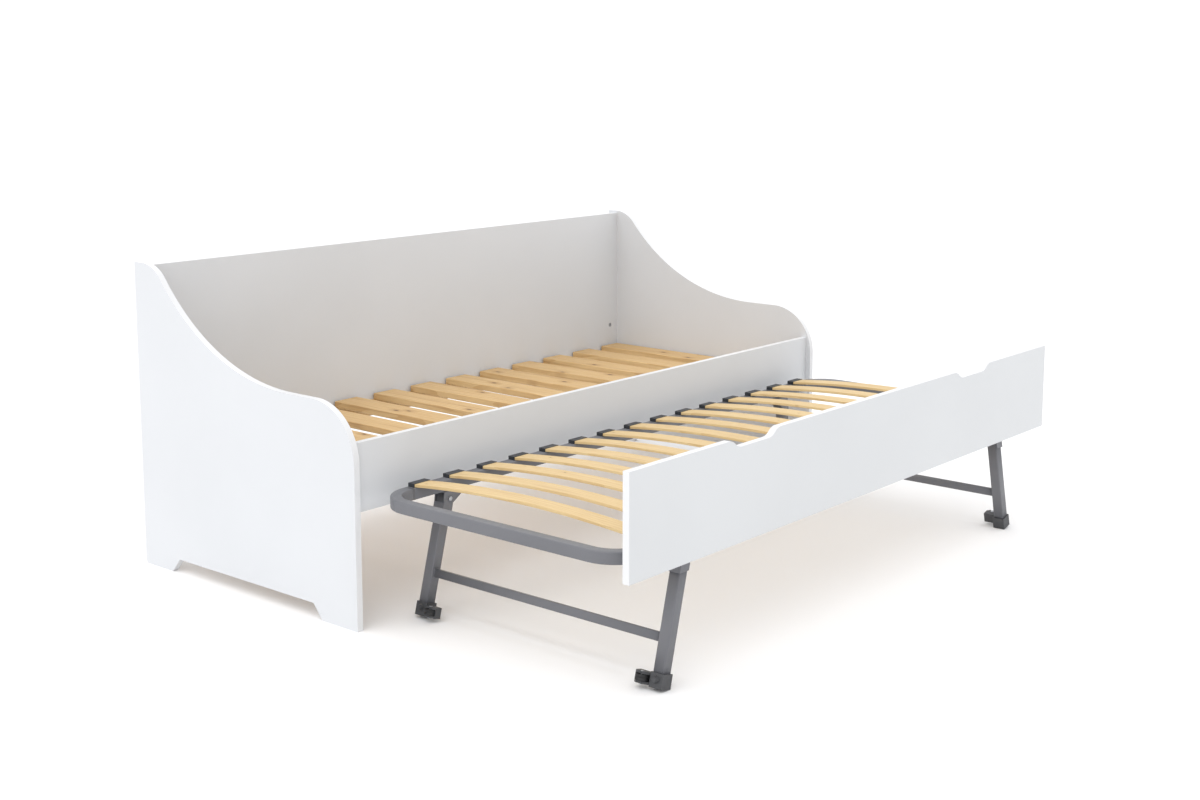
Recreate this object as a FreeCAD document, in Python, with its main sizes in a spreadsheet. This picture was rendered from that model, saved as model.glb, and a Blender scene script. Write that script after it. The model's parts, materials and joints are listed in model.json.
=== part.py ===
import FreeCAD, Part

import math
import os
import re

import Sketcher
from FreeCAD import Placement, Rotation, Vector

# A daybed and its trundle, which is pulled out and stands on folding legs.
# Millimetres. +X runs along the bed, +Y to the daybed's back, +Z up. The origin is on the
# floor, in the middle of the whole outline. Heights are measured from the floor.

SIZES = {
    # Daybed boards
    "inner_length": 2030,
    "board": 18,
    "side_front": -21,
    "side_depth": 890,
    "side_height": 858,
    "arm_height": 573,
    "front_radius": 150,
    "sweep_start": 250,
    "sweep_radius": 680,
    "crown_start": 855,
    "crown_radius": 105,
    "heel_radius": 12,
    "notch_front": 132,
    "notch_back": 767,
    "notch_run": 35,
    "notch_height": 40,
    "clear_height": 298,
    "rail_top": 475,
    "rail_inset": 17,
    "back_top": 850,
    "back_inset": 22,
    # Daybed slats and the battens under them
    "slat_pitch": 160.5,
    "slat_width": 92,
    "slat_front": 16,
    "slat_length": 806,
    "slat_thick": 20,
    "slat_top": 364.5,
    "slat_round": 3,
    "batten_depth": 25,
    "batten_bottom": 300,
    "batten_gap": 3,
    "pin_radius": 3,
    "pin_half": 10,
    # Board fittings
    "cam_radius": 7.5,
    "cam_depth": 12.5,
    "cam_inset": 40,
    "cam_slot": 1.8,
    "cam_slot_half": 5.25,
    "bolt_radius": 3.5,
    "dowel_radius": 4,
    "dowel_half": 20,
    "side_bore": 11,
    "back_cam_low": 436,
    "back_cam_high": 780,
    "back_dowel_low": 340,
    "back_dowel_high": 610,
    "rail_cam_low": 386,
    "rail_cam_high": 446,
    "rail_dowel_low": 320,
    "rail_dowel_high": 416,
    "screw_radius": 2,
    "screw_head": 4,
    "screw_sink": 2.5,
    "batten_screw": 37,
    # Trundle frame
    "frame_length": 2000,
    "frame_depth": 790,
    "frame_back": -51,
    "frame_top": 349,
    "tube": 30,
    "tube_wall": 1.5,
    "corner_radius": 100,
    "bow_reach": 112,
    # Sprung slats and their holders
    "spring_pitch": 122.4,
    "spring_width": 53,
    "spring_thick": 8,
    "spring_crown": 20.2,
    "holder_width": 56,
    "holder_depth": 22,
    "holder_height": 10,
    "holder_inset": 3,
    "holder_floor": 0.8,
    "holder_back": 2,
    "peg_radius": 4,
    "peg_length": 7,
    "peg_overlap": 0.5,
    # Trundle front panel and its brackets
    "panel_length": 2020,
    "panel_height": 250,
    "panel_bottom": 295,
    "panel_gap": 10,
    "grip_offset": 541,
    "grip_top": 212,
    "grip_bottom": 110,
    "grip_depth": 20,
    "angle_width": 44,
    "angle_plate": 3,
    "angle_height": 52,
    "angle_reach": 24,
    "angle_screw": 36.4,
    "pan_height": 2,
    "panel_screw": 12,
    # Leg brackets and pivots
    "pivot_inset": 231.1,
    "pivot_height": 299,
    "splay": 14.79,
    "side_gap": 0.5,
    "plate": 2.5,
    "stop_gap": 0.3,
    "stop_start": 13,
    "stop_end": 41,
    "cheek_corner": 10,
    "flare": 56,
    "flare_bend": 40.9,
    "window": 9,
    "pivot_radius": 4,
    "pivot_gap": 0.05,
    "nut_radius": 6.5,
    "nut_height": 3.5,
    # Folding legs
    "leg_top": 11,
    "leg_length": 304.45,
    "crossbar_drop": 192,
    "crossbar_height": 21,
    "crossbar_thick": 15,
    # Feet and casters
    "cap": 36,
    "cap_height": 35,
    "cap_floor": 4,
    "buffer_height": 20,
    "buffer_length": 10,
    "buffer_base": 9,
    "buffer_tip": 5.5,
    "wheel_radius": 15.5,
    "wheel_width": 15,
    "wheel_side": 38,
    "wheel_out": 22,
    "wheel_rise": 17,
    "wheel_chamfer": 1.5,
    "wheel_gap": 1.5,
    "fork_height": 28,
    "fork_plate": 5.5,
    "fork_nose": 12,
    "nose_turn": 53.13,
    "fork_wall": 3,
    "fork_end": 2.5,
    "fork_length": 57,
    "fork_root": 1,
    "axle_radius": 3,
    "axle_gap": 0.05,
    "axle_head": 5,
    "axle_cap": 1.2,
}
SLATS = 13
SPRINGS = 15
BATTEN_SCREWS = 4
SLATS_PER_SCREW = 3
ANGLE_SLOTS = (-6.5, -2.5, 2.5, 6.5)

# Places worked out from the driving dimensions
END = "inner_length / 2"
BACK_FACE = "(side_front + side_depth - back_inset - board)"
RAIL_FACE = "(side_front + rail_inset)"
SLAT_BOTTOM = "(slat_top - slat_thick)"
FRAME_MIDDLE = "(frame_back - frame_depth / 2)"
RAIL_BOTTOM = "(frame_top - tube)"
PIVOT_X = "(pivot_inset - frame_length / 2)"
LEG_LINE = "(frame_depth / 2 - tube / 2)"
FOOT = "(-leg_length)"

doc = FreeCAD.newDocument("TrundleBed")
sheet = doc.addObject("Spreadsheet::Sheet", "Sizes")
for row, (alias, number) in enumerate(SIZES.items(), start=1):
    sheet.set(f"A{row}", str(number))
    sheet.setAlias(f"A{row}", alias)
doc.recompute()

ALIAS = re.compile(r"\b(" + "|".join(SIZES) + r")\b")
nodes = []


# ---------- Helpers ----------

def bound(text):
    """The expression, with each size looked up in the sheet."""
    return ALIAS.sub(r"Sizes.\1", str(text))


def value(text):
    """The number that an expression gives."""
    answer = sheet.evalExpression(bound(text))
    return float(getattr(answer, "Value", answer))


def bind(item, **sizes):
    for name, text in sizes.items():
        item.setExpression(name, bound(text))
    return item


def place(item, spot=(0, 0, 0), turn=None):
    """Puts the item at three expressions, turned as given."""
    item.Placement = Placement(Vector(), turn or Rotation())
    for axis, text in zip("xyz", spot):
        item.setExpression(f"Placement.Base.{axis}", bound(text))
    return item


def box(name, size, corner):
    item = doc.addObject("Part::Box", name)
    bind(item, Length=size[0], Width=size[1], Height=size[2])
    return place(item, corner)


AXES = {
    "x": Rotation(Vector(0, 1, 0), 90),
    "-x": Rotation(Vector(0, 1, 0), -90),
    "y": Rotation(Vector(1, 0, 0), -90),
    "-y": Rotation(Vector(1, 0, 0), 90),
    "z": Rotation(),
    "-z": Rotation(Vector(1, 0, 0), 180),
}


def rod(name, radius, length, start, axis):
    """A cylinder that runs from start along the named axis."""
    item = doc.addObject("Part::Cylinder", name)
    bind(item, Radius=radius, Height=length)
    return place(item, start, AXES[axis])


def taper(name, radii, length, start, axis):
    item = doc.addObject("Part::Cone", name)
    bind(item, Radius1=radii[0], Radius2=radii[1], Height=length)
    return place(item, start, AXES[axis])


def hexagon(name, radius, length, start, axis):
    item = doc.addObject("Part::Prism", name)
    item.Polygon = 6
    bind(item, Circumradius=radius, Height=length)
    return place(item, start, AXES[axis])


def group(name, items):
    item = doc.addObject("Part::Compound", name)
    item.Links = items
    return item


def fuse(name, items):
    item = doc.addObject("Part::MultiFuse", name)
    item.Shapes = items
    return item


def cut(name, base, tools):
    item = doc.addObject("Part::Cut", name)
    item.Base = base
    item.Tool = group(name + "_tools", tools)
    return item


def mirrored(name, source, normal):
    item = doc.addObject("Part::Mirroring", name)
    item.Source = source
    item.Normal = Vector(*normal)
    return item


def node(label, item):
    """Names a finished sub-part, which is written to its own file."""
    item.Label = label
    nodes.append(item)
    return item


def copies(name, source):
    """The source with its mirror images across X, across Y and across both."""
    across = mirrored(name + "_x", source, (1, 0, 0))
    pair = [source, across]
    return pair + [mirrored(f"{name}_y{i}", item, (0, 1, 0)) for i, item in enumerate(pair)]


def arc_middle(start, end, radius, side):
    """The middle of the short arc, which bulges to the left (1) or right (-1) of its way."""
    chord = end - start
    sagitta = radius - math.sqrt(radius ** 2 - chord.Length ** 2 / 4)
    normal = Vector(-chord.y, chord.x, 0).normalize()
    return (start + end) / 2 + normal * side * sagitta


def outline(body, plane, name, steps):
    """A closed sketch through the steps, each (across, up) or, for an arc that ends there,
    (across, up, radius, side). It starts where the last step ends."""
    sketch = body.newObject("Sketcher::SketchObject", name)
    base = next(f for f in body.Origin.OriginFeatures if f.Role == plane)
    sketch.AttachmentSupport = (base, "")
    sketch.MapMode = "FlatFace"
    points = [Vector(value(step[0]), value(step[1]), 0) for step in steps]
    ends = []
    for count, step in enumerate(steps):
        start = points[count - 1]
        end = points[count]
        if len(step) == 2:
            sketch.addGeometry(Part.LineSegment(start, end))
            ends.append((1, 2))
            continue
        middle = arc_middle(start, end, value(step[2]), step[3])
        sketch.addGeometry(Part.Arc(start, middle, end))
        forward = sketch.getPoint(count, 1).distanceToPoint(start) < 1e-6
        ends.append((1, 2) if forward else (2, 1))
    for count, step in enumerate(steps):
        after = (count + 1) % len(steps)
        sketch.addConstraint(
            Sketcher.Constraint("Coincident", count, ends[count][1], after, ends[after][0]))
        for kind, number, text in (("DistanceX", points[count].x, step[0]),
                                   ("DistanceY", points[count].y, step[1])):
            place_at = Sketcher.Constraint(kind, -1, 1, count, ends[count][1], number)
            index = sketch.addConstraint(place_at)
            sketch.setExpression(f"Constraints[{index}]", bound(text))
        if len(step) == 4:
            index = sketch.addConstraint(Sketcher.Constraint("Radius", count, value(step[2])))
            sketch.setExpression(f"Constraints[{index}]", bound(step[2]))
    return sketch


def padded(name, plane, steps, depth):
    """A body padded from one outline: XY pads up, YZ to +X and XZ to -Y."""
    body = doc.addObject("PartDesign::Body", name)
    sketch = outline(body, plane, name + "_outline", steps)
    pad = body.newObject("PartDesign::Pad", name + "_pad")
    pad.Profile = sketch
    bind(pad, Length=depth)
    return body


# ---------- Daybed ----------

def side_shape(name):
    """The side panel: a rounded arm that sweeps up to the back, on two feet."""
    total = "(crown_radius + sweep_radius)"
    crown_z = "(side_height - crown_radius)"
    sweep_z = "(arm_height + sweep_radius)"
    meet_y = f"(crown_start - crown_radius * (crown_start - sweep_start) / {total})"
    meet_z = f"({crown_z} + crown_radius * ({sweep_z} - {crown_z}) / {total})"
    steps = [
        ("0", "0"),
        ("notch_front", "0"),
        ("notch_front + notch_run", "notch_height"),
        ("notch_back - notch_run", "notch_height"),
        ("notch_back", "0"),
        ("side_depth - heel_radius", "0"),
        ("side_depth", "heel_radius", "heel_radius", -1),
        ("side_depth", "side_height"),
        ("crown_start", "side_height"),
        (meet_y, meet_z, "crown_radius", -1),
        ("sweep_start", "arm_height", "sweep_radius", 1),
        ("front_radius", "arm_height"),
        ("0", "arm_height - front_radius", "front_radius", -1),
    ]
    return padded(name, "YZ_Plane", steps, "board")


BOARDS = {
    "back": (f"({BACK_FACE} + board / 2)", ("back_cam_low", "back_cam_high"),
             ("back_dowel_low", "back_dowel_high")),
    "rail": (f"({RAIL_FACE} + board / 2)", ("rail_cam_low", "rail_cam_high"),
             ("rail_dowel_low", "rail_dowel_high")),
}
# The lower cam of the back panel faces the front, and the other cams face the back.
FORWARD_CAM = "back_cam_low"


def cam_spot(board_y, height, sign):
    """The middle of a cam's visible face, and the way that it is sunk into the board."""
    faces_front = height == FORWARD_CAM
    face = f"({board_y} - board / 2)" if faces_front else f"({board_y} + board / 2)"
    return (f"{sign} * ({END} - cam_inset)", face, height), "y" if faces_front else "-y"


def cam_body(name, board_y, height, sign):
    spot, axis = cam_spot(board_y, height, sign)
    return rod(name, "cam_radius", "cam_depth", spot, axis)


def cross_slots(name, board_y, height, sign):
    """The two crossed driver slots in a cam's face, cut as deep as they are wide."""
    spot, axis = cam_spot(board_y, height, sign)
    half = "cam_slot_half"
    wide = box(name + "_wide", (f"2 * {half}", "2 * cam_slot", "cam_slot"),
               (f"{spot[0]} - {half}", f"{spot[1]} - cam_slot", f"{spot[2]} - cam_slot / 2"))
    tall = box(name + "_tall", ("cam_slot", "2 * cam_slot", f"2 * {half}"),
               (f"{spot[0]} - cam_slot / 2", f"{spot[1]} - cam_slot", f"{spot[2]} - {half}"))
    return group(name, [wide, tall])


def bolt_body(name, board_y, height, sign):
    start = (f"{sign} * ({END} - cam_inset + cam_radius)", board_y, height)
    length = "cam_inset - cam_radius + side_bore"
    return rod(name, "bolt_radius", length, start, "x" if sign > 0 else "-x")


def dowel_body(name, board_y, height, sign):
    start = (f"{sign} * ({END} - dowel_half)", board_y, height)
    return rod(name, "dowel_radius", "dowel_half + side_bore", start, "x" if sign > 0 else "-x")


def fitting_set(make, kind, heights_at):
    """One fitting at each height and end of each board, as {(board, sign): [items]}."""
    made = {}
    for board, row in BOARDS.items():
        for sign in (-1, 1):
            side = "l" if sign < 0 else "r"
            made[board, sign] = [
                make(f"{kind}_{board}_{side}{i}", row[0], height, sign)
                for i, height in enumerate(row[heights_at])
            ]
    return made


cams = fitting_set(cam_body, "cam", 1)
bolts = fitting_set(bolt_body, "bolt", 1)
dowels = fitting_set(dowel_body, "dowel", 2)


def fittings_of(sets, board=None, sign=None):
    return [item for group_of in sets for (at, side), items in group_of.items() for item in items
            if board in (None, at) and sign in (None, side)]


slots = fitting_set(cross_slots, "slot", 1)
node("cam_fittings", cut("CamFittings", group("cam_blanks", fittings_of([cams])),
                         fittings_of([slots])))
node("cam_bolts", group("CamBolts", fittings_of([bolts])))
node("wood_dowels", group("WoodDowels", fittings_of([dowels])))

for side, sign in (("left", -1), ("right", 1)):
    panel = place(side_shape(side + "_side_blank"),
                  (f"-{END} - board" if sign < 0 else END, "side_front", 0))
    node(side + "_side_panel",
         cut(side.title() + "SidePanel", panel, fittings_of([bolts, dowels], sign=sign)))


def batten_screws_for(name, face, axis):
    """Countersunk screws along a batten, that enter at its free face."""
    screws = []
    sink = "screw_sink" if axis == "y" else "-screw_sink"
    for i in range(BATTEN_SCREWS):
        along = f"{i - (BATTEN_SCREWS - 1) / 2} * {SLATS_PER_SCREW} * slat_pitch"
        height = f"(batten_bottom + {SLAT_BOTTOM}) / 2"
        head = taper(f"{name}_head{i}", ("screw_head", "screw_radius"), "screw_sink",
                     (along, face, height), axis)
        shank = rod(f"{name}_shank{i}", "screw_radius", "batten_screw - screw_sink",
                    (along, f"{face} + {sink}", height), axis)
        screws.append(fuse(f"{name}{i}", [head, shank]))
    return screws


front_batten_face = f"({RAIL_FACE} + board + batten_depth)"
back_batten_face = f"({BACK_FACE} - batten_depth)"
front_screws = batten_screws_for("front_screw", front_batten_face, "-y")
back_screws = batten_screws_for("back_screw", back_batten_face, "y")
node("batten_screws", group("BattenScrews", front_screws + back_screws))

board_size = ("inner_length", "board")
back_blank = box("back_blank", (*board_size, "back_top - clear_height"),
                 (f"-{END}", BACK_FACE, "clear_height"))
rail_blank = box("rail_blank", (*board_size, "rail_top - clear_height"),
                 (f"-{END}", RAIL_FACE, "clear_height"))
sets = [cams, bolts, dowels]
node("back_panel", cut("BackPanel", back_blank, fittings_of(sets, "back") + back_screws))
node("front_rail", cut("FrontRail", rail_blank, fittings_of(sets, "rail") + front_screws))

pins = []
slat_section = [
    ("slat_width / 2 - slat_round", "0"),
    ("slat_width / 2", "slat_round", "slat_round", -1),
    ("slat_width / 2", "slat_thick - slat_round"),
    ("slat_width / 2 - slat_round", "slat_thick", "slat_round", -1),
    ("slat_round - slat_width / 2", "slat_thick"),
    ("-slat_width / 2", "slat_thick - slat_round", "slat_round", -1),
    ("-slat_width / 2", "slat_round"),
    ("slat_round - slat_width / 2", "0", "slat_round", -1),
]
for i in range(SLATS):
    along = f"{i - (SLATS - 1) // 2} * slat_pitch"
    pair = []
    for at, face in enumerate((front_batten_face, back_batten_face)):
        toward = "-" if at == 0 else "+"
        spot = (along, f"{face} {toward} batten_depth / 2", f"{SLAT_BOTTOM} - pin_half")
        pair.append(rod(f"pin{i}_{at}", "pin_radius", "2 * pin_half", spot, "z"))
    pins += pair
    blank = padded(f"slat_blank{i}", "XZ_Plane", slat_section, "slat_length")
    place(blank, (along, "slat_front + slat_length", SLAT_BOTTOM))
    node(f"daybed_slat_{i + 1:02d}", cut(f"DaybedSlat{i + 1:02d}", blank, pair))
node("slat_pins", group("SlatPins", pins))

batten_size = ("inner_length - 2 * batten_gap", "batten_depth", f"{SLAT_BOTTOM} - batten_bottom")
batten_blanks = [
    box("front_batten", batten_size,
        (f"batten_gap - {END}", f"{RAIL_FACE} + board", "batten_bottom")),
    box("back_batten", batten_size, (f"batten_gap - {END}", back_batten_face, "batten_bottom")),
]
node("slat_battens", cut("SlatBattens", group("batten_blanks", batten_blanks),
                         pins + front_screws + back_screws))

# ---------- Trundle ----------

# The trundle's pieces are built about the middle of its frame and moved there last.
MIDDLE = ("0", FRAME_MIDDLE, "0")


def holder_spot(i):
    return f"{i - (SPRINGS - 1) // 2} * spring_pitch"


def holder_pair(i):
    """The two holders of one sprung slat: a cap open to the slat, with a peg in the rail."""
    outer_y = "frame_depth / 2 - holder_inset"
    shell = box(f"holder_shell{i}", ("holder_width", "holder_depth", "holder_height"),
                (f"{holder_spot(i)} - holder_width / 2", f"{outer_y} - holder_depth", "frame_top"))
    peg = rod(f"peg{i}", "peg_radius", "peg_length + peg_overlap",
              (holder_spot(i), LEG_LINE, "frame_top + peg_overlap"), "-z")
    whole = fuse(f"holder_whole{i}", [shell, peg])
    pocket = box(f"pocket{i}", ("spring_width", "holder_depth - holder_back", "spring_thick"),
                 (f"{holder_spot(i)} - spring_width / 2", f"{outer_y} - holder_depth",
                  "frame_top + holder_floor"))
    back = cut(f"holder_back{i}", whole, [pocket])
    return [back, mirrored(f"holder_front{i}", back, (0, 1, 0))], peg


def spring(i):
    """A sprung slat: flat ends inside the holders, and an arc between them."""
    end = "(frame_depth / 2 - holder_inset - holder_back)"
    mouth = "(frame_depth / 2 - holder_inset - holder_depth)"
    top = "spring_thick"
    radius = f"(({mouth} ^ 2 + spring_crown ^ 2) / (2 * spring_crown))"
    steps = [
        (f"-{end}", "0"),
        (f"-{mouth}", "0"),
        (mouth, "0", radius, 1),
        (end, "0"),
        (end, top),
        (mouth, top),
        (f"-{mouth}", top, radius, -1),
        (f"-{end}", top),
    ]
    body = padded(f"Spring{i + 1:02d}", "YZ_Plane", steps, "spring_width")
    place(body, (f"{holder_spot(i)} - spring_width / 2", FRAME_MIDDLE, "frame_top + holder_floor"))
    return body


holders = []
pegs = []
for i in range(SPRINGS):
    pair, peg = holder_pair(i)
    holders += pair
    pegs.append(peg)
    node(f"sprung_slat_{i + 1:02d}", spring(i))
node("slat_holders", place(group("SlatHolders", holders), MIDDLE))


def pan_head_screw(name, start, axis):
    """A pan head screw. Its shank runs along the axis from under its head."""
    away = {"-z": "z", "-y": "y"}[axis]
    head = rod(name + "_head", "screw_head", "pan_height", start, away)
    shank = rod(name + "_shank", "screw_radius", "panel_screw", start, axis)
    return fuse(name, [head, shank])


def angle_bracket(i, slot):
    """An angle that stands on the front rail and holds the panel, with its four screws."""
    reach = "(panel_gap + angle_reach)"
    steps = [
        ("0", "0"),
        (reach, "0"),
        (reach, "angle_plate"),
        ("angle_plate", "angle_plate"),
        ("angle_plate", "angle_height"),
        ("0", "angle_height"),
    ]
    blank = padded(f"angle_blank{i}", "YZ_Plane", steps, "angle_width")
    along = f"{slot} * spring_pitch"
    front = "(-frame_depth / 2 - panel_gap)"
    place(blank, (f"{along} - angle_width / 2", front, "frame_top"))
    screws = []
    for j, side in enumerate((-1, 1)):
        across = f"{along} + {side} * angle_width / 4"
        down = (across, f"{front} + panel_gap + angle_reach / 2", "frame_top + angle_plate")
        ahead = (across, f"{front} + angle_plate", "frame_top + angle_screw")
        screws.append(pan_head_screw(f"down_screw{i}_{j}", down, "-z"))
        screws.append(pan_head_screw(f"ahead_screw{i}_{j}", ahead, "-y"))
    return cut(f"angle{i}", blank, screws), screws


angles = []
angle_screws = []
for i, slot in enumerate(ANGLE_SLOTS):
    angle, screws = angle_bracket(i, slot)
    angles.append(angle)
    angle_screws += screws
node("panel_brackets", place(group("PanelBrackets", angles), MIDDLE))
node("panel_screws", place(group("PanelScrews", angle_screws), MIDDLE))

RAIL_LENGTH = "(frame_length - 2 * bow_reach)"


def rail(name, y, holes):
    """A straight run of square tube."""
    outer = box(name + "_outer", (RAIL_LENGTH, "tube", "tube"),
                (f"-{RAIL_LENGTH} / 2", y, RAIL_BOTTOM))
    inner = box(name + "_inner",
                (RAIL_LENGTH, "tube - 2 * tube_wall", "tube - 2 * tube_wall"),
                (f"-{RAIL_LENGTH} / 2", f"{y} + tube_wall", f"{RAIL_BOTTOM} + tube_wall"))
    return place(cut(name, outer, [inner, *holes]), MIDDLE)


front_pegs = [mirrored(f"front_peg{i}", peg, (0, 1, 0)) for i, peg in enumerate(pegs)]
node("frame_back_rail", rail("BackRail", "frame_depth / 2 - tube", pegs))
node("frame_front_rail", rail("FrontTubeRail", "-frame_depth / 2", front_pegs + angle_screws))


def bow_ring(name, inset, height):
    """The end bow seen from above: out along a rail, round two corners and back."""
    far = f"(frame_length / 2 - {inset})"
    side = f"(frame_depth / 2 - {inset})"
    near = f"(frame_length / 2 - tube + {inset})"
    inside = f"(frame_depth / 2 - tube + {inset})"
    outer = f"(corner_radius - {inset})"
    inner = f"(corner_radius - tube + {inset})"
    start = "(frame_length / 2 - bow_reach)"
    bend_x = "(frame_length / 2 - corner_radius)"
    bend_y = "(frame_depth / 2 - corner_radius)"
    steps = [
        (start, f"-{side}"),
        (bend_x, f"-{side}"),
        (far, f"-{bend_y}", outer, -1),
        (far, bend_y),
        (bend_x, side, outer, -1),
        (start, side),
        (start, inside),
        (bend_x, inside),
        (near, bend_y, inner, 1),
        (near, f"-{bend_y}"),
        (bend_x, f"-{inside}", inner, 1),
        (start, f"-{inside}"),
    ]
    return padded(name, "XY_Plane", steps, height)


bow_outer = place(bow_ring("bow_outer", "0", "tube"), (0, 0, RAIL_BOTTOM))
bow_inner = place(bow_ring("bow_inner", "tube_wall", "tube - 2 * tube_wall"),
                  (0, 0, f"{RAIL_BOTTOM} + tube_wall"))
right_bow = cut("RightBow", bow_outer, [bow_inner])
node("right_end_bow", place(right_bow, MIDDLE))
node("left_end_bow", mirrored("LeftBow", right_bow, (1, 0, 0)))


def front_panel():
    """The front board, with two hand cut-outs in its top edge, each a pair of S curves."""
    run = "((grip_top - grip_bottom) / 2)"
    half = "(grip_depth / 2)"
    # Two equal arcs that meet halfway down make each S, level at both of its ends.
    bend = f"(({run} ^ 2 / 4 + {half} ^ 2) / (2 * {half}))"
    steps = [
        ("-panel_length / 2", "panel_height"),
        ("-panel_length / 2", "0"),
        ("panel_length / 2", "0"),
        ("panel_length / 2", "panel_height"),
    ]
    for side in (1, -1):
        middle = f"({side} * grip_offset)"
        steps += [
            (f"{middle} + grip_top / 2", "panel_height"),
            (f"{middle} + grip_top / 2 - {run} / 2", f"panel_height - {half}", bend, -1),
            (f"{middle} + grip_bottom / 2", "panel_height - grip_depth", bend, 1),
            (f"{middle} - grip_bottom / 2", "panel_height - grip_depth"),
            (f"{middle} - grip_top / 2 + {run} / 2", f"panel_height - {half}", bend, 1),
            (f"{middle} - grip_top / 2", "panel_height", bend, -1),
        ]
    blank = padded("front_blank", "XZ_Plane", steps, "board")
    place(blank, (0, "-frame_depth / 2 - panel_gap", "panel_bottom"))
    return place(cut("TrundleFront", blank, angle_screws), MIDDLE)


node("trundle_front_panel", front_panel())

# ---------- Leg brackets and pivots ----------

HALF = "(tube / 2 + side_gap + plate)"
INNER = "(tube / 2 + side_gap)"


def along_leg(distance, outward):
    """A point in the leg's plane, from its pivot: down the leg and out from its middle."""
    across = f"-({distance}) * sin(splay) - ({outward}) * cos(splay)"
    up = f"-({distance}) * cos(splay) + ({outward}) * sin(splay)"
    return across, up


def leg_bracket():
    """A welded channel that straddles the leg's top, with a stop for the leg's outer face."""
    web_in = "(tube / 2 + stop_gap)"
    web_out = f"({web_in} + plate)"
    rise = f"({RAIL_BOTTOM} - pivot_height)"
    # The lower edge is level, so that it clears the floor once the frame is down.
    level = f"stop_end - ({web_out} + tube / 2) * tan(splay)"
    cheek = [
        (f"-{web_out}", rise),
        along_leg("stop_start", web_out),
        along_leg("stop_end", web_out),
        along_leg(level, "-tube / 2"),
        along_leg("cheek_corner", "-tube / 2"),
        ("flare_bend", f"{rise} / 4"),
        ("flare", rise),
    ]
    solids = []
    for name, start in (("near", f"-{INNER}"), ("far", HALF)):
        solids.append(place(padded(f"cheek_{name}", "XZ_Plane", cheek, "plate"), (0, start, 0)))
    web = [
        along_leg("stop_start", web_in),
        along_leg("stop_start", web_out),
        along_leg("stop_end", web_out),
        along_leg("stop_end", web_in),
    ]
    width = f"2 * {HALF}"
    solids.append(place(padded("stop_web", "XZ_Plane", web, width), (0, HALF, 0)))
    solids.append(box("outer_flange", (f"{web_out} - window", width, "plate"),
                      (f"-{web_out}", f"-{HALF}", f"{rise} - plate")))
    solids.append(box("inner_flange", ("flare - 2 * plate - window", width, "plate"),
                      ("window", f"-{HALF}", f"{rise} - plate")))
    shank = rod("pivot_bore", "pivot_radius", width, (0, f"-{HALF}", 0), "y")
    bracket = cut("leg_bracket", fuse("bracket_solid", solids), [shank])
    return place(bracket, (PIVOT_X, LEG_LINE, "pivot_height"))


def pivot_bolt():
    """A bolt through both cheeks and the leg, with its head and nut outside them."""
    width = f"2 * {HALF}"
    parts = [
        rod("pivot_shank", "pivot_radius", width, (0, f"-{HALF}", 0), "y"),
        hexagon("pivot_head", "nut_radius", "nut_height", (0, f"-{HALF}", 0), "-y"),
        hexagon("pivot_nut", "nut_radius", "nut_height", (0, HALF, 0), "y"),
    ]
    return place(fuse("pivot_bolt", parts), (PIVOT_X, LEG_LINE, "pivot_height"))


node("leg_brackets", place(group("LegBrackets", copies("bracket", leg_bracket())), MIDDLE))
node("pivot_bolts", place(group("PivotBolts", copies("pivot", pivot_bolt())), MIDDLE))

# ---------- Folding legs ----------

# A pair of legs is built upright about its pivot line, then turned to its splay. Its outer
# face is to -X, and the back leg is the mirror image of the front one.


def both_legs(name, front):
    return group(name, [front, mirrored(name + "_back", front, (0, 1, 0))])


def leg_tube():
    start = f"{FOOT} + cap_floor"
    height = "leg_length - cap_floor + leg_top"
    bore = "tube - 2 * tube_wall"
    outer = box("leg_outer", ("tube", "tube", height), ("-tube / 2", f"-{LEG_LINE} - tube / 2", start))
    inner = box("leg_inner", (bore, bore, height),
                ("tube_wall - tube / 2", f"tube_wall - {LEG_LINE} - tube / 2", start))
    hole = rod("leg_hole", "pivot_radius + pivot_gap", "tube",
               (0, f"-{LEG_LINE} - tube / 2", 0), "y")
    return cut("leg_tube", outer, [inner, hole])


def crossbar():
    """A flat tube welded between the two legs."""
    length = f"(2 * {LEG_LINE} - tube)"
    outer = box("bar_outer", ("crossbar_thick", length, "crossbar_height"),
                ("-crossbar_thick / 2", f"-{length} / 2", "-crossbar_drop - crossbar_height / 2"))
    inner = box("bar_inner", ("crossbar_thick - 2 * tube_wall", length,
                              "crossbar_height - 2 * tube_wall"),
                ("tube_wall - crossbar_thick / 2", f"-{length} / 2",
                 "tube_wall - crossbar_drop - crossbar_height / 2"))
    return cut("crossbar", outer, [inner])


WHEEL_SPOT = ("-wheel_out", f"wheel_side - {LEG_LINE}")
WHEEL_HEIGHT = f"({FOOT} + wheel_rise)"


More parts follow.
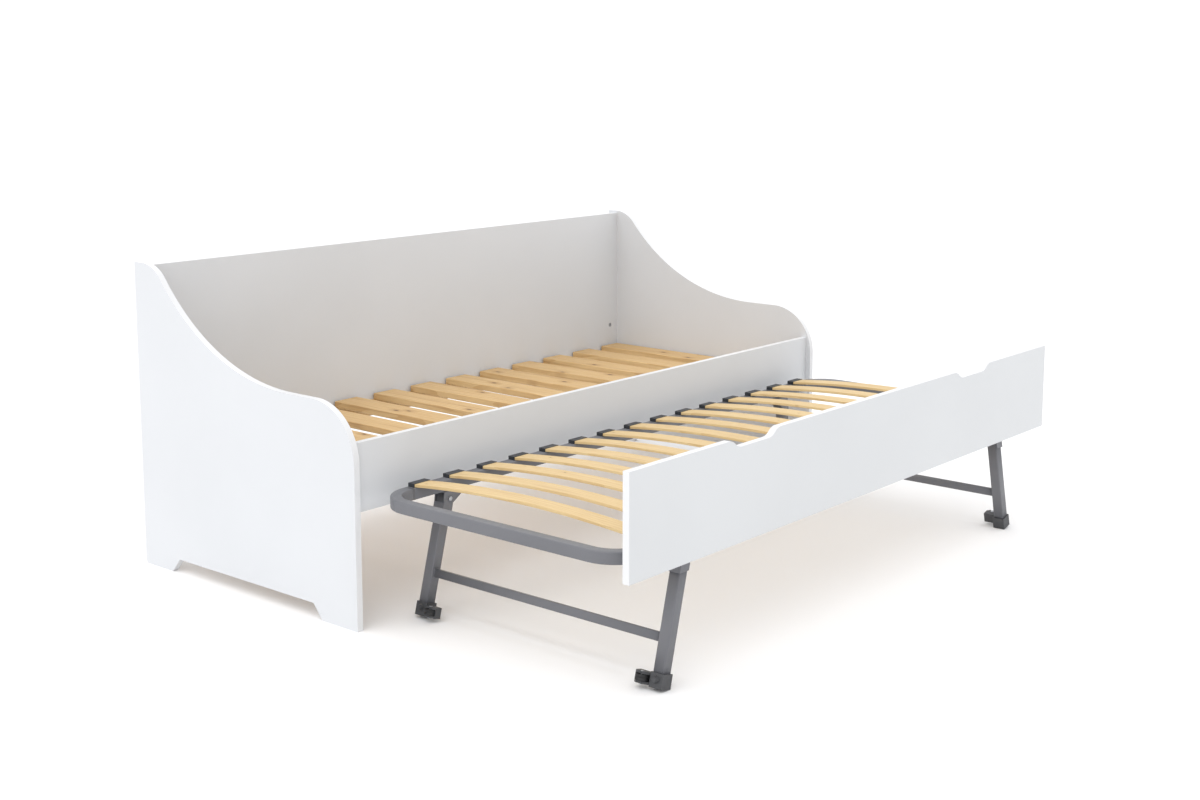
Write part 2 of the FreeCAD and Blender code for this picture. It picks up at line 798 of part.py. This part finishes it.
def foot_cap():
    """The moulded foot: a sleeve on the tube's end, a round buffer on its outer face, and a
    fork beside it, closed at its far end and open to the outer side."""
    middle_y = f"-{LEG_LINE}"
    sleeve = box("sleeve", ("cap", "cap", "cap_height"),
                 ("-cap / 2", f"{middle_y} - cap / 2", FOOT))
    buffer = taper("buffer", ("buffer_base", "buffer_tip"), "buffer_length",
                   ("-cap / 2", middle_y, f"{FOOT} + buffer_height"), "-x")
    wall = "(wheel_radius - wheel_out + wheel_gap)"
    root = "(cap / 2 - fork_root)"
    nose = [
        (f"{wall} + fork_wall", root),
        (f"{wall} + fork_wall", "fork_length"),
        ("-wheel_out", "fork_length"),
        ("-wheel_out - fork_nose * cos(nose_turn)", "wheel_side + fork_nose * sin(nose_turn)"),
        ("-wheel_out - fork_nose * sin(nose_turn)", "wheel_side - fork_nose * cos(nose_turn)",
         "fork_nose", 1),
        ("-cap / 3", root),
    ]
    low = f"({WHEEL_HEIGHT} - fork_height / 2)"
    high = f"({WHEEL_HEIGHT} + fork_height / 2 - fork_plate)"
    arms = [place(padded(f"arm{i}", "XY_Plane", nose, "fork_plate"), (0, middle_y, level))
            for i, level in enumerate((low, high))]
    back = box("fork_back", ("fork_wall", f"fork_length - {root}", "fork_height"),
               (wall, f"{middle_y} + {root}", low))
    end = box("fork_end", (f"{wall} + fork_wall + wheel_out", "fork_end", "fork_height"),
              ("-wheel_out", f"{middle_y} + fork_length - fork_end", low))
    solid = fuse("cap_solid", [sleeve, buffer, back, end, *arms])
    socket = box("socket", ("tube", "tube", "cap_height"),
                 ("-tube / 2", f"{middle_y} - tube / 2", f"{FOOT} + cap_floor"))
    bore = rod("axle_bore", "axle_radius", "fork_height", (*WHEEL_SPOT, low), "z")
    return cut("foot_cap", solid, [socket, bore])


def axle():
    """The caster's pin, with a flat head at each end."""
    low = f"({WHEEL_HEIGHT} - fork_height / 2)"
    high = f"({WHEEL_HEIGHT} + fork_height / 2)"
    parts = [
        rod("axle_pin", "axle_radius", "fork_height", (*WHEEL_SPOT, low), "z"),
        rod("axle_low", "axle_head", "axle_cap", (*WHEEL_SPOT, low), "-z"),
        rod("axle_high", "axle_head", "axle_cap", (*WHEEL_SPOT, high), "z"),
    ]
    return fuse("axle", parts)


def wheel():
    """A caster wheel with chamfered rims and a bore that runs on the axle."""
    low = f"{WHEEL_HEIGHT} - wheel_width / 2"
    body = doc.addObject("PartDesign::Body", "wheel_blank")
    rim = "wheel_radius - wheel_chamfer"
    profile = [
        ("axle_radius + axle_gap", "0"),
        (rim, "0"),
        ("wheel_radius", "wheel_chamfer"),
        ("wheel_radius", "wheel_width - wheel_chamfer"),
        (rim, "wheel_width"),
        ("axle_radius + axle_gap", "wheel_width"),
    ]
    sketch = outline(body, "XZ_Plane", "wheel_profile", profile)
    turned = body.newObject("PartDesign::Revolution", "wheel_turned")
    turned.Profile = sketch
    turned.ReferenceAxis = (sketch, ["V_Axis"])
    turned.Angle = 360
    return place(body, (*WHEEL_SPOT, low))


front_wheel = wheel()
upright = {
    "leg_tubes": both_legs("leg_pair", leg_tube()),
    "crossbar": crossbar(),
    "foot_caps": both_legs("cap_pair", foot_cap()),
    "caster_axles": both_legs("axle_pair", axle()),
    "front_wheel": group("front_wheel", [front_wheel]),
    "back_wheel": group("back_wheel", [mirrored("wheel_back", front_wheel, (0, 1, 0))]),
}
for name, source in upright.items():
    label = name.title().replace("_", "")
    left = group("Left" + label, [source])
    place(left, (PIVOT_X, FRAME_MIDDLE, "pivot_height"), Rotation(Vector(0, 1, 0), 1))
    left.setExpression("Placement.Rotation.Angle", bound("splay"))
    node("left_" + name, left)
    node("right_" + name, mirrored("Right" + label, left, (1, 0, 0)))

# ---------- Checks and files ----------

doc.recompute()
failed = [item.Name for item in doc.Objects if "Invalid" in item.State or "Error" in item.State]
if failed:
    raise RuntimeError(f"objects that failed: {failed}")
for item in nodes:
    if item.Shape.isNull() or not item.Shape.isValid() or not item.Shape.Solids:
        raise RuntimeError(f"{item.Label} has no valid shape")

os.makedirs("parts", exist_ok=True)
for item in nodes:
    item.Shape.exportStep(os.path.join("parts", item.Label + ".step"))
print(f"{len(nodes)} sub-parts written")
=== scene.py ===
import json
import math
import random

import bmesh
import bpy
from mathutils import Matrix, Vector


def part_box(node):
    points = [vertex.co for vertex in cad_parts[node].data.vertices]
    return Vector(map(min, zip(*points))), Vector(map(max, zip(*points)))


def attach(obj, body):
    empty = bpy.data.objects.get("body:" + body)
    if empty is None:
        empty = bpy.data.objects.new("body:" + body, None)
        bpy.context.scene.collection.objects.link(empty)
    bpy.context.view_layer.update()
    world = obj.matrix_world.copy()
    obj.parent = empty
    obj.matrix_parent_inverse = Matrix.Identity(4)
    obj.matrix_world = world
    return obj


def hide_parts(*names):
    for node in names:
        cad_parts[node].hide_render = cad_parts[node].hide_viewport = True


# The looks of a daybed and of the trundle that is pulled out from it. Metres, in the frame of
# the CAD model. Boards, slats, brackets and feet keep their CAD shapes and get rounded edges.
# Pieces made here stand for the steel tubes and the caster wheels.

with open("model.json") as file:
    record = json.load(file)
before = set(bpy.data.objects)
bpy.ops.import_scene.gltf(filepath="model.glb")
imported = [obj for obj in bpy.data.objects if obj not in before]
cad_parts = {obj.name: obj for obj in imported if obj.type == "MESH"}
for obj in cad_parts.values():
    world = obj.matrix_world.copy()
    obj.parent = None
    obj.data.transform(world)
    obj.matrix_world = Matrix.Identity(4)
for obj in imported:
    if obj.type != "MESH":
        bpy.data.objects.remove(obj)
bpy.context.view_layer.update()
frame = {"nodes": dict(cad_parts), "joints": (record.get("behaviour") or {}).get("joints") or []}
NODES = frame["nodes"]
JOINTS = {joint["name"]: joint for joint in frame["joints"]}
SIDES = {"left": -1, "right": 1}
MM = 0.001


# ---------- Material helpers ----------

def srgb(red, green, blue):
    """A colour given in 0 to 255, as Blender's linear values."""
    def channel(number):
        part = number / 255
        return part / 12.92 if part <= 0.04045 else ((part + 0.055) / 1.055) ** 2.4
    return (channel(red), channel(green), channel(blue), 1.0)


class Graph:
    """A material and short ways to add nodes to it."""

    def __init__(self, name, **sockets):
        self.material = bpy.data.materials.new(name)
        self.material.use_nodes = True
        self.tree = self.material.node_tree
        self.shader = self.tree.nodes["Principled BSDF"]
        for socket, number in sockets.items():
            self.shader.inputs[socket.replace("_", " ")].default_value = number

    def put(self, kind, inputs=None, **settings):
        """Adds a node. An input is a number or another node's output."""
        made = self.tree.nodes.new("ShaderNode" + kind)
        for key, setting in settings.items():
            setattr(made, key, setting)
        for key, source in (inputs or {}).items():
            if isinstance(source, bpy.types.NodeSocket):
                self.tree.links.new(source, made.inputs[key])
            else:
                made.inputs[key].default_value = source
        return made

    def place(self, shift=(0, 0, 0), scale=(1, 1, 1)):
        """The piece's own coordinates in metres, moved and stretched."""
        where = self.put("TexCoord").outputs["Object"]
        return self.put("Mapping", {"Vector": where, "Location": shift,
                                    "Scale": scale}).outputs[0]

    def noise(self, vector, scale, detail=3.0, rough=0.5):
        made = self.put("TexNoise", {"Vector": vector, "Scale": scale, "Detail": detail,
                                     "Roughness": rough})
        return made.outputs["Fac"]

    def span(self, source, low, high, to_low=0.0, to_high=1.0):
        """Carries the source from one range to another, and holds it there."""
        return self.put("MapRange", {"Value": source, "From Min": low, "From Max": high,
                                     "To Min": to_low, "To Max": to_high}).outputs[0]

    def math(self, operation, first, second=0.0):
        return self.put("Math", {0: first, 1: second}, operation=operation).outputs[0]

    def mix(self, amount, first, second):
        """Blends from one colour to another. The Mix node's sockets 6 and 7 are its colours."""
        return self.put("Mix", {0: amount, 6: first, 7: second}, data_type="RGBA").outputs[2]

    def colour(self, source):
        self.tree.links.new(source, self.shader.inputs["Base Color"])

    def rough(self, source):
        self.tree.links.new(source, self.shader.inputs["Roughness"])

    def bump(self, height, distance, strength):
        made = self.put("Bump", {"Height": height, "Distance": distance, "Strength": strength})
        self.tree.links.new(made.outputs[0], self.shader.inputs["Normal"])


# ---------- Colours ----------

# All the boards are one melamine. The trundle front's white, a little darker than the others', is
# painted shade.
BOARD_WHITE = (207, 209, 212)
SHADED_FRONT_WHITE = (203, 205, 207)
WHITE_MOTTLE = 3
EDGE_BAND = srgb(218, 219, 221)
# Each wood is pale between its rings, dark in them, and darker still in its veins.
PINE = (srgb(215, 184, 134), srgb(192, 155, 104), srgb(148, 108, 66))
BENT_BEECH = (srgb(217, 192, 144), srgb(201, 171, 121), srgb(170, 134, 90))
TURNED_BEECH = (srgb(206, 178, 134), srgb(186, 152, 108), srgb(160, 124, 82))
KNOT = srgb(70, 40, 20)
DULL_ZINC = srgb(150, 153, 158)
BRIGHT_ZINC = srgb(196, 198, 202)


# ---------- Materials ----------

def board_material(name, face_axis, white):
    """White melamine on the wide faces, and a smoother edge band round the rest."""
    graph = Graph(name, Specular_IOR_Level=0.4)
    where = graph.place()
    normal = graph.put("TexCoord").outputs["Normal"]
    parts = graph.put("SeparateXYZ", {0: normal})
    across = graph.math("ABSOLUTE", parts.outputs[face_axis])
    face = graph.span(across, 0.6, 0.8)
    mottle = graph.span(graph.noise(where, 2.2, 4.0), 0.35, 0.65)
    lighter = srgb(*(part + WHITE_MOTTLE for part in white))
    paint = graph.mix(mottle, srgb(*white), lighter)
    graph.colour(graph.mix(face, EDGE_BAND, paint))
    pearl = graph.noise(where, 900.0, 2.0)
    haze = graph.noise(where, 9.0, 5.0, 0.6)
    satin = graph.span(haze, 0.3, 0.7, 0.36, 0.46)
    graph.rough(graph.mix(face, (0.3, 0.3, 0.3, 1), satin))
    graph.bump(graph.math("MULTIPLY", pearl, face), 0.06 * MM, 0.5)
    return graph.material


def growth_rings(graph, drift, wander):
    """Bands across the slat, which the wandering noise pushes sideways."""
    push = graph.put("CombineXYZ", {"X": graph.math("MULTIPLY", wander, 0.11),
                                    "Z": graph.math("MULTIPLY", wander, 0.06)}).outputs[0]
    straight_at = graph.place(drift, (1.0, 0.05, 1.0))
    warped = graph.put("VectorMath", {0: straight_at, 1: push}).outputs[0]
    waves = graph.put("TexWave", {"Vector": warped, "Scale": 26.0, "Distortion": 1.5,
                                  "Detail": 3.0, "Detail Scale": 1.2, "Detail Roughness": 0.6},
                      wave_type="BANDS", bands_direction="X", wave_profile="SAW")
    return waves.outputs["Fac"]


def knot_distance(graph, drift, along):
    """The distance to the nearest knot, roughened so that knots have ragged edges."""
    spread = graph.place(drift, (1.0, 0.5, 1.0))
    spots = graph.put("TexVoronoi", {"Vector": spread, "Scale": 8.5, "Randomness": 1.0},
                      voronoi_dimensions="2D").outputs["Distance"]
    frayed = graph.math("SUBTRACT", graph.noise(along, 60.0, 2.0), 0.5)
    return graph.math("ADD", spots, graph.math("MULTIPLY", frayed, 0.05))


def wood_material(name, seed, colours, knots):
    """Wood with its grain along Y: growth rings that drift along it, fibres and knots."""
    pale, dark, vein = colours
    draw = random.Random(seed)
    drift = tuple(draw.uniform(-9, 9) for axis in range(3))
    graph = Graph(name, Specular_IOR_Level=0.35)
    along = graph.place(drift, (1.0, 0.16, 1.0))
    rings = growth_rings(graph, drift, graph.noise(along, 7.0, 3.0, 0.5))
    fibre_at = graph.place(drift, (1.0, 0.02, 1.0))
    fibre = graph.noise(fibre_at, 420.0, 3.0, 0.65)
    patch = graph.noise(along, 3.0, 2.0)
    ragged = knot_distance(graph, drift, along)
    core = graph.span(ragged, 0.02 * knots, 0.05 * knots, 1.0, 0.0)
    halo = graph.span(ragged, 0.04 * knots, 0.16 * knots, 1.0, 0.0)
    streak = graph.span(graph.noise(fibre_at, 95.0, 2.0, 0.7), 0.56, 0.74)

    tone = graph.mix(graph.span(rings, 0.25, 0.95, 0.0, 0.75), pale, dark)
    tone = graph.mix(graph.span(patch, 0.35, 0.7, 0.0, 0.35), tone, dark)
    tone = graph.mix(graph.math("MULTIPLY", streak, 0.5), tone, vein)
    tone = graph.mix(graph.span(fibre, 0.42, 0.62, 0.0, 0.18), tone, vein)
    tone = graph.mix(graph.math("MULTIPLY", halo, 0.45), tone, vein)
    tone = graph.mix(graph.math("MULTIPLY", core, 0.85), tone, KNOT)
    graph.colour(tone)
    graph.rough(graph.span(fibre, 0.3, 0.7, 0.42, 0.6))
    grain = graph.math("ADD", fibre, graph.math("MULTIPLY", rings, 0.5))
    graph.bump(grain, 0.2 * MM, 0.45)
    return graph.material


def coat_material(name, colour, rough):
    """Powder coat: a colour that varies a little, under a fine orange peel."""
    graph = Graph(name, Specular_IOR_Level=0.5)
    where = graph.place()
    cloud = graph.noise(where, 5.0, 4.0)
    darker = tuple(part * 0.92 for part in colour[:3]) + (1.0,)
    graph.colour(graph.mix(graph.span(cloud, 0.35, 0.65), colour, darker))
    peel = graph.noise(where, 1100.0, 2.0, 0.6)
    graph.rough(graph.span(graph.noise(where, 60.0, 3.0), 0.3, 0.7, rough - 0.05, rough + 0.06))
    graph.bump(peel, 0.12 * MM, 0.6)
    return graph.material


def moulded_material(name, colour, rough):
    """Moulded plastic with an eroded texture and faint rubbed patches."""
    graph = Graph(name, Specular_IOR_Level=0.5)
    where = graph.place()
    rubbed = graph.span(graph.noise(where, 40.0, 4.0), 0.45, 0.75)
    lighter = tuple(min(1.0, part * 1.35 + 0.006) for part in colour[:3]) + (1.0,)
    graph.colour(graph.mix(graph.math("MULTIPLY", rubbed, 0.4), colour, lighter))
    graph.rough(graph.span(rubbed, 0.0, 1.0, rough, rough - 0.12))
    graph.bump(graph.noise(where, 1600.0, 2.0), 0.1 * MM, 0.7)
    return graph.material


def metal_material(name):
    """Zinc plate with a cloudy shine and a fine grain."""
    graph = Graph(name, Metallic=0.95)
    where = graph.place()
    haze = graph.noise(where, 120.0, 3.0)
    graph.colour(graph.mix(haze, DULL_ZINC, BRIGHT_ZINC))
    graph.rough(graph.span(haze, 0.3, 0.7, 0.26, 0.44))
    graph.bump(graph.noise(where, 2400.0, 1.0), 0.04 * MM, 0.6)
    return graph.material


# The axis that each board's wide faces look along, and the board's white, which on the trundle
# front is darker as painted shade
BOARDS = {
    "left_side_panel": (0, BOARD_WHITE),
    "right_side_panel": (0, BOARD_WHITE),
    "back_panel": (1, BOARD_WHITE),
    "front_rail": (1, BOARD_WHITE),
    "trundle_front_panel": (1, SHADED_FRONT_WHITE),
}
GREY = coat_material("grey_coat", srgb(107, 108, 113), 0.42)
HOLDER = moulded_material("holder_plastic", srgb(40, 43, 48), 0.5)
FOOT = moulded_material("foot_plastic", srgb(62, 63, 66), 0.52)
TREAD = moulded_material("wheel_tread", srgb(26, 26, 28), 0.6)
HUB = moulded_material("wheel_hub", srgb(34, 35, 38), 0.35)
ZINC = metal_material("zinc_plate")
BEECH = wood_material("beech_pin", 3, TURNED_BEECH, 0.0)
BATTEN = wood_material("pine_batten", 11, PINE, 0.6)


# ---------- Finish of the CAD pieces ----------

def dress(node, material, radius=None, segments=3):
    """Gives a CAD piece its material, and rounds its edges within its own surface."""
    piece = NODES[node]
    piece.data.materials.clear()
    piece.data.materials.append(material)
    if radius:
        weld = piece.modifiers.new("weld", "WELD")
        weld.merge_threshold = 0.01 * MM
        bevel = piece.modifiers.new("round", "BEVEL")
        bevel.width = radius
        bevel.segments = segments
        bevel.limit_method = "ANGLE"
        bevel.angle_limit = math.radians(35)
        bevel.harden_normals = False
        normals = piece.modifiers.new("normals", "WEIGHTED_NORMAL")
        normals.keep_sharp = False
        normals.weight = 80


for node, (face_axis, white) in BOARDS.items():
    dress(node, board_material("board_" + node, face_axis, white), 0.9 * MM)

# Each slat has a material of its own, with its own seed, so that no two show the same grain.
for index, node in enumerate(sorted(NODES)):
    if node.startswith("daybed_slat"):
        dress(node, wood_material("pine_" + node, 40 + index, PINE, 1.0), 0.8 * MM)
    elif node.startswith("sprung_slat"):
        dress(node, wood_material("beech_" + node, 90 + index, BENT_BEECH, 0.25), 1.6 * MM)
dress("slat_battens", BATTEN, 1.5 * MM)
dress("slat_holders", HOLDER, 0.5 * MM, 2)
dress("leg_brackets", GREY, 0.7 * MM, 2)
dress("panel_brackets", ZINC, 0.6 * MM, 2)
for node in ("pivot_bolts", "cam_fittings", "left_caster_axles", "right_caster_axles"):
    dress(node, ZINC, 0.35 * MM, 2)
for node in ("panel_screws", "batten_screws", "cam_bolts"):
    dress(node, ZINC)
for node in ("slat_pins", "wood_dowels"):
    dress(node, BEECH)
for side_name in SIDES:
    dress(side_name + "_foot_caps", FOOT, 0.8 * MM)


# ---------- Mesh helpers ----------

ALONG_Y = Vector((0, 1, 0))
REVOLVE_STEPS = 56
BEAD_SIDES = 8
BEAD_RIPPLE = 0.18


def make_piece(name, mesh_data, material, body, replaced=()):
    """A new object from a finished bmesh, which rides on its body."""
    mesh = bpy.data.meshes.new(name)
    bmesh.ops.recalc_face_normals(mesh_data, faces=mesh_data.faces)
    mesh_data.to_mesh(mesh)
    mesh_data.free()
    mesh.materials.append(material)
    for face in mesh.polygons:
        face.use_smooth = True
    piece = bpy.data.objects.new(name, mesh)
    bpy.context.scene.collection.objects.link(piece)
    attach(piece, body)
    if replaced:
        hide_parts(*replaced)


def corners(node):
    """The lowest and highest corners of a CAD node's box."""
    return [Vector(corner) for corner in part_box(node)]


def rounded_section(half_wide, half_high, radius, steps=5):
    """The points of a rounded rectangle, anticlockwise."""
    points = []
    for quarter, (sx, sy) in enumerate(((1, 1), (-1, 1), (-1, -1), (1, -1))):
        for step in range(steps + 1):
            angle = math.radians(90 * quarter + 90 * step / steps)
            points.append((sx * (half_wide - radius) + radius * math.cos(angle),
                           sy * (half_high - radius) + radius * math.sin(angle)))
    return points


def spokes(axis, count):
    """Evenly spaced directions, square to the axis."""
    first = axis.orthogonal().normalized()
    second = axis.cross(first)
    angles = [math.tau * step / count for step in range(count)]
    return [first * math.cos(angle) + second * math.sin(angle) for angle in angles]


def bridge(mesh, rings):
    """Joins each closed ring of points to the next one with a band of faces."""
    for first, second in zip(rings, rings[1:]):
        for i in range(len(first)):
            j = (i + 1) % len(first)
            mesh.faces.new((first[i], first[j], second[j], second[i]))


def sweep(mesh, path, sides, section):
    """Sweeps a section along a path, and closes its ends. Each point of the path has its own
    sideways direction, and up is square to it and to the way ahead."""
    rings = []
    for at, (point, side) in enumerate(zip(path, sides)):
        before = path[max(at - 1, 0)]
        after = path[min(at + 1, len(path) - 1)]
        ahead = (after - before).normalized()
        up = ahead.cross(side).normalized()
        rings.append([mesh.verts.new(point + side * u + up * v) for u, v in section])
    bridge(mesh, rings)
    mesh.faces.new(rings[0][::-1])
    mesh.faces.new(rings[-1])


def straight(mesh, start, end, side, section):
    """Sweeps a section from one point to another."""
    sweep(mesh, [start, end], [side, side], section)


def revolve(mesh, centre, axis, profile):
    """Turns a closed profile of (radius, distance along the axis) about the axis."""
    rings = [[mesh.verts.new(centre + axis * along + away * radius) for radius, along in profile]
             for away in spokes(axis, REVOLVE_STEPS)]
    bridge(mesh, rings + rings[:1])


def bead(mesh, loop, axis, radius):
    """A weld bead round a closed loop of points, with ripples along it."""
    turns = [math.tau * step / BEAD_SIDES for step in range(BEAD_SIDES)]
    rings = []
    for at, point in enumerate(loop):
        ahead = (loop[(at + 1) % len(loop)] - loop[at - 1]).normalized()
        out = ahead.cross(axis)
        full = radius * (1.0 + BEAD_RIPPLE * math.sin(at * 2.4))
        rings.append([mesh.verts.new(point + (axis * math.cos(turn) + out * math.sin(turn)) * full)
                      for turn in turns])
    bridge(mesh, rings + rings[:1])


def fine_outline(section):
    """The section's outline, with more points along each side over 4 mm long."""
    points = []
    for (x, y), (x2, y2) in zip(section, section[1:] + section[:1]):
        parts = 9 if math.hypot(x2 - x, y2 - y) > 4 * MM else 1
        points += [(x + (x2 - x) * k / parts, y + (y2 - y) * k / parts) for k in range(parts)]
    return points


# ---------- Trundle frame ----------

TUBE = 30 * MM
TUBE_ROUND = 3.2 * MM
TUBE_SECTION = rounded_section(TUBE / 2, TUBE / 2, TUBE_ROUND)
# The radius of the bow's two bends, on their outer side
BOW_RADIUS = 100 * MM
BEND_STEPS = 14


def rail(node):
    """A straight tube along the frame."""
    low, high = corners(node)
    middle = (low + high) / 2
    mesh = bmesh.new()
    straight(mesh, Vector((low.x, middle.y, middle.z)), Vector((high.x, middle.y, middle.z)),
             ALONG_Y, TUBE_SECTION)
    make_piece(node + "_tube", mesh, GREY, "trundle", [node])


def bow(side_name, sign):
    """The bent end of the frame: two straight stubs, two bends and the run between them."""
    node = side_name + "_end_bow"
    low, high = corners(node)
    level = (low.z + high.z) / 2
    outer, start = (high.x, low.x) if sign > 0 else (low.x, high.x)
    centre_x = outer - sign * BOW_RADIUS
    bend = BOW_RADIUS - TUBE / 2
    path = [Vector((start, low.y + TUBE / 2, level))]
    sides = [-ALONG_Y]
    for centre_y, first in ((low.y + BOW_RADIUS, -90), (high.y - BOW_RADIUS, 0)):
        for step in range(BEND_STEPS + 1):
            angle = math.radians(first + 90 * step / BEND_STEPS)
            away = Vector((sign * math.cos(angle), math.sin(angle), 0))
            path.append(Vector((centre_x, centre_y, level)) + away * bend)
            sides.append(away)
    path.append(Vector((start, high.y - TUBE / 2, level)))
    sides.append(ALONG_Y)
    mesh = bmesh.new()
    sweep(mesh, path, sides, TUBE_SECTION)
    make_piece(node + "_tube", mesh, GREY, "trundle", [node])


for node in ("frame_back_rail", "frame_front_rail"):
    rail(node)
for side_name, sign in SIDES.items():
    bow(side_name, sign)


# ---------- Legs ----------

BAR_THICK = 15 * MM
BAR_HEIGHT = 21 * MM
BAR_ROUND = 2.5 * MM
WELD = 1.3 * MM
WELD_INSET = WELD * 0.4


def leg_tubes(side_name, down):
    """The two tubes of a pair of legs. A tilted tube touches the top and the bottom of its box
    with one corner of its section."""
    node = side_name + "_leg_tubes"
    pivot = Vector(JOINTS[side_name + "_legs_fold"]["pos_m"])
    low, high = corners(node)
    corner_rise = abs(down.x) * TUBE / 2
    above = (high.z - pivot.z - corner_rise) / -down.z
    below = (pivot.z - low.z - corner_rise) / -down.z
    mesh = bmesh.new()
    for y in (low.y + TUBE / 2, high.y - TUBE / 2):
        middle = Vector((pivot.x, y, pivot.z))
        straight(mesh, middle - down * above, middle + down * below, ALONG_Y, TUBE_SECTION)
    make_piece(node + "_tube", mesh, GREY, side_name + "_legs", [node])


def crossbar(side_name, out):
    """The flat tube between two legs, with a weld bead round each end."""
    node = side_name + "_crossbar"
    low, high = corners(node)
    middle = (low + high) / 2
    section = rounded_section(BAR_THICK / 2, BAR_HEIGHT / 2, BAR_ROUND)
    mesh = bmesh.new()
    straight(mesh, Vector((middle.x, low.y, middle.z)), Vector((middle.x, high.y, middle.z)),
             out, section)
    up = ALONG_Y.cross(out)
    for end in (low.y + WELD_INSET, high.y - WELD_INSET):
        centre = Vector((middle.x, end, middle.z))
        loop = [centre + out * u + up * v for u, v in fine_outline(section)]
        bead(mesh, loop, ALONG_Y, WELD)
    make_piece(node + "_tube", mesh, GREY, side_name + "_legs", [node])


for side_name, sign in SIDES.items():
    # A caster's axle is parallel to its leg.
    down = Vector(JOINTS[side_name + "_front_wheel_roll"]["axis"]).normalized()
    leg_tubes(side_name, down)
    crossbar(side_name, Vector((-down.z, 0, down.x)) * sign)


# ---------- Wheels ----------

# Radii, from the outside to the bore. The hub reaches a little way into the tread.
WHEEL = 15.5 * MM
HUB_REACH = 10.3 * MM
TREAD_BORE = 10.2 * MM
RIM = 9.1 * MM
BOSS = 5.4 * MM
BORE = 3.05 * MM
# Distances from the wheel's middle plane, and the rounding of the tread's shoulders
HALF_WIDTH = 7.5 * MM
HALF_WEB = 2.2 * MM
TREAD_ROUND = 1.5 * MM


def mirrored_profile(half):
    """A profile that is the same on both sides of the wheel's middle."""
    return half + [(radius, -along) for radius, along in reversed(half)]


def tread(mesh, centre, axis):
    """A tyre with rounded shoulders and a shallow groove round its middle."""
    shoulder = [(WHEEL - TREAD_ROUND + TREAD_ROUND * math.sin(turn),
                 HALF_WIDTH - TREAD_ROUND + TREAD_ROUND * math.cos(turn))
                for turn in (math.radians(15 * step) for step in range(7))]
    inner = [(TREAD_BORE, HALF_WIDTH - 0.6 * MM), (TREAD_BORE + 0.6 * MM, HALF_WIDTH)]
    groove = [(WHEEL, 0.9 * MM), (WHEEL - 0.5 * MM, 0.6 * MM)]
    revolve(mesh, centre, axis, mirrored_profile(inner + shoulder + groove))


def hub(mesh, centre, axis):
    """A boss, a web and a rim, with six ribs on each side of the web."""
    half = [
        (BORE, HALF_WIDTH - 0.5 * MM),
        (BORE + 0.35 * MM, HALF_WIDTH - 0.1 * MM),
        (BOSS - 0.4 * MM, HALF_WIDTH - 0.1 * MM),
        (BOSS, HALF_WIDTH - 0.5 * MM),
        (BOSS + 0.2 * MM, HALF_WEB),
        (RIM - 0.2 * MM, HALF_WEB),
        (RIM, HALF_WIDTH - 1.0 * MM),
        (RIM + 0.4 * MM, HALF_WIDTH - 0.7 * MM),
        (HUB_REACH, HALF_WIDTH - 0.7 * MM),
    ]
    revolve(mesh, centre, axis, mirrored_profile(half))
    rib = rounded_section(0.6 * MM, HALF_WIDTH - 2.4 * MM, 0.4 * MM, 2)
    for away in spokes(axis, 6):
        straight(mesh, centre + away * (BOSS - 0.2 * MM), centre + away * (RIM + 0.1 * MM),
                 axis.cross(away), rib)


def wheel(body):
    """A tread round a hub."""
    joint = JOINTS[body + "_roll"]
    centre = Vector(joint["pos_m"])
    axis = Vector(joint["axis"]).normalized()
    mesh = bmesh.new()
    tread(mesh, centre, axis)
    make_piece(body + "_tread", mesh, TREAD, body, [body])
    mesh = bmesh.new()
    hub(mesh, centre, axis)
    make_piece(body + "_hub", mesh, HUB, body)


for side_name in SIDES:
    for end in ("front", "back"):
        wheel(f"{side_name}_{end}_wheel")


# ---------- Stage, light and camera ----------

# Metres and degrees. The camera looks along +Y before it is turned towards +X and tilted down.
FLOOR_REACH = 60
FLOOR_TONES = (srgb(240, 240, 241), srgb(242, 242, 243))
SURROUND_STRENGTH = 1.12
LIGHT_SPREAD = 70
LIGHT_STRENGTH = 1.2
LIGHT_WAY = Vector((0.5, 0.08, -0.86))
EYE = (-3.626, -2.983, 1.409)
TURN = 50.0
TILT = 8.52
LENS = 48.93
SHIFT = -0.08


def stage():
    """A pale floor, and a white surround that lights everything softly."""
    mesh = bmesh.new()
    bmesh.ops.create_grid(mesh, x_segments=1, y_segments=1, size=FLOOR_REACH)
    data = bpy.data.meshes.new("floor")
    mesh.to_mesh(data)
    mesh.free()
    floor = bpy.data.objects.new("floor", data)
    graph = Graph("floor_paint", Roughness=0.85, Specular_IOR_Level=0.1)
    patch = graph.noise(graph.place(), 0.8, 3.0)
    graph.colour(graph.mix(patch, *FLOOR_TONES))
    data.materials.append(graph.material)
    bpy.context.scene.collection.objects.link(floor)
    world = bpy.data.worlds.new("surround")
    world.use_nodes = True
    background = world.node_tree.nodes["Background"]
    background.inputs["Color"].default_value = (1, 1, 1, 1)
    background.inputs["Strength"].default_value = SURROUND_STRENGTH
    bpy.context.scene.world = world


def sky_light():
    """A very wide soft light from above the left end."""
    light = bpy.data.lights.new("soft_top", "SUN")
    light.angle = math.radians(LIGHT_SPREAD)
    light.energy = LIGHT_STRENGTH
    source = bpy.data.objects.new("soft_top", light)
    source.rotation_euler = LIGHT_WAY.to_track_quat("-Z", "Y").to_euler()
    bpy.context.scene.collection.objects.link(source)


def camera():
    """Stands in front of the bed's left end, and looks across it."""
    data = bpy.data.cameras.new("camera")
    data.lens = LENS
    data.sensor_width = 36
    data.shift_y = SHIFT
    data.clip_end = 200
    viewer = bpy.data.objects.new("camera", data)
    viewer.location = EYE
    viewer.rotation_euler = (math.radians(90 - TILT), 0, math.radians(-TURN))
    bpy.context.scene.collection.objects.link(viewer)
    bpy.context.scene.camera = viewer


stage()
sky_light()
camera()
bpy.context.scene.view_settings.view_transform = "Standard"
